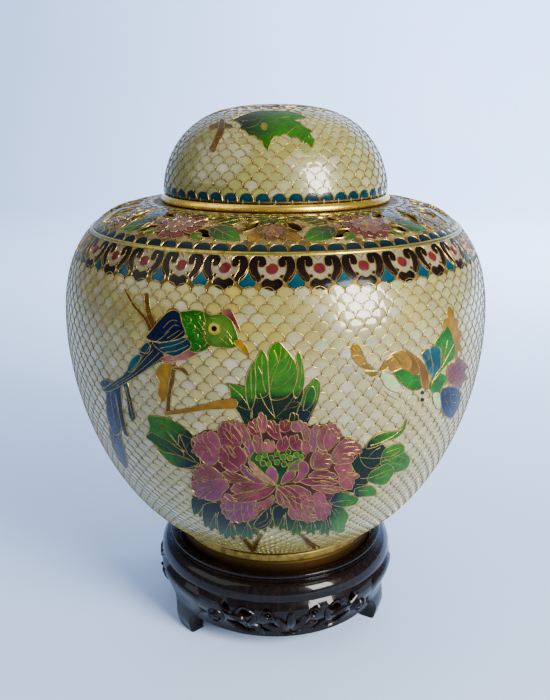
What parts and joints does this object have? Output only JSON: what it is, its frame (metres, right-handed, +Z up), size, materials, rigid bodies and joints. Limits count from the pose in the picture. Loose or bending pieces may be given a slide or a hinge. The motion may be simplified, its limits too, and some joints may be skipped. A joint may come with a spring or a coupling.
{
  "type": "openwork enamel ginger jar on a carved stand",
  "caption": "Lidded ornamental jar of translucent enamel in wire, with a pierced shoulder, gilt rings and a domed lift-off lid, on a turned and carved dark wood stand.",
  "frame": {"origin": "on the table under the jar's axis, at the level of the stand's three soles", "axes": "+Z up along the jar's axis; the front with the peony faces -Y; +X is to the right seen from the front"},
  "size_m": [0.1206, 0.1206, 0.1535],
  "materials": {
    "jar_enamel": "glossy translucent ivory enamel in fine brass wire, with coloured flowers, bird and butterfly",
    "lid_enamel": "glossy translucent ivory enamel in fine brass wire",
    "lid_rim_gilt": "polished gilt",
    "neck_gilt": "polished gilt",
    "foot_gilt": "satin gilt",
    "stand_wood": "dark red-brown lacquered hardwood"
  },
  "bodies": {
    "root": {"jar_body": "jar_enamel", "lid_dome": "lid_enamel", "lid_rim": "lid_rim_gilt", "neck_collar": "neck_gilt", "foot_ring": "foot_gilt", "stand": "stand_wood"}
  },
  "joints": []
}
